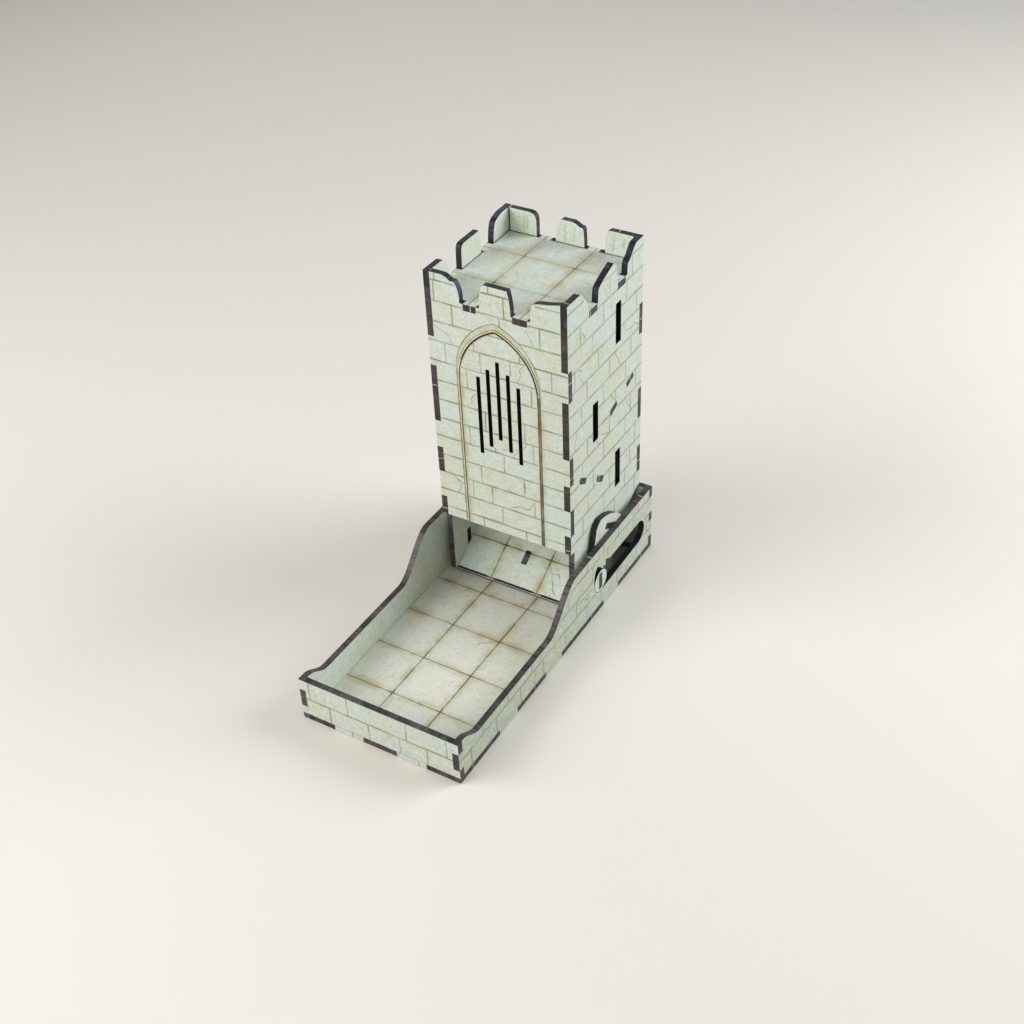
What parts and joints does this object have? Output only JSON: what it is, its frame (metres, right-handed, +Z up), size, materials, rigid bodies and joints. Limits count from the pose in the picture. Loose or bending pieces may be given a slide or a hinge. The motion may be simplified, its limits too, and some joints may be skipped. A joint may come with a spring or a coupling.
{
  "type": "dice tower",
  "caption": "Castle-shaped dice tower of interlocking laser-cut plates: battlemented shaft with baffles and exit ramp that folds down into a low rolling tray.",
  "frame": {"origin": "centre of the tray's footprint, on the surface that it stands on", "axes": "+Z up; the tray's open front faces -Y and the tower stands at +Y; +X to the right seen from the front"},
  "size_m": [0.083, 0.181, 0.173],
  "materials": {
    "fibreboard": "matt laser-cut fibreboard with charred edges"
  },
  "bodies": {
    "tray": {"tray_floor": "fibreboard", "tray_front_wall": "fibreboard", "tray_rear_wall": "fibreboard", "tray_left_wall": "fibreboard", "tray_right_wall": "fibreboard"},
    "pivots": {"left_pivot_disc": "fibreboard", "right_pivot_disc": "fibreboard", "left_pivot_key": "fibreboard", "right_pivot_key": "fibreboard"},
    "tower": {"tower_front_wall": "fibreboard", "tower_rear_wall": "fibreboard", "tower_left_wall": "fibreboard", "tower_right_wall": "fibreboard", "roof_plate": "fibreboard", "upper_baffle": "fibreboard", "lower_baffle": "fibreboard", "exit_ramp": "fibreboard", "ramp_rib": "fibreboard", "left_hinge_plate": "fibreboard", "right_hinge_plate": "fibreboard", "left_plate_key": "fibreboard", "right_plate_key": "fibreboard"}
  },
  "joints": [
    {"name": "pivot_slide", "type": "slide", "parent": "tray", "child": "pivots", "axis": [0, 0.9997, 0.0234], "range_m": [0, 0.03851]},
    {"name": "tower_fold", "type": "hinge", "parent": "pivots", "child": "tower", "pos_m": [0, 0.0364, 0.0173], "axis": [1, 0, 0], "range_deg": [0, 88]}
  ],
  "couplings": [
    {"joint": "pivot_slide", "follows": "tower_fold", "m_per_rad": 0.02507}
  ]
}
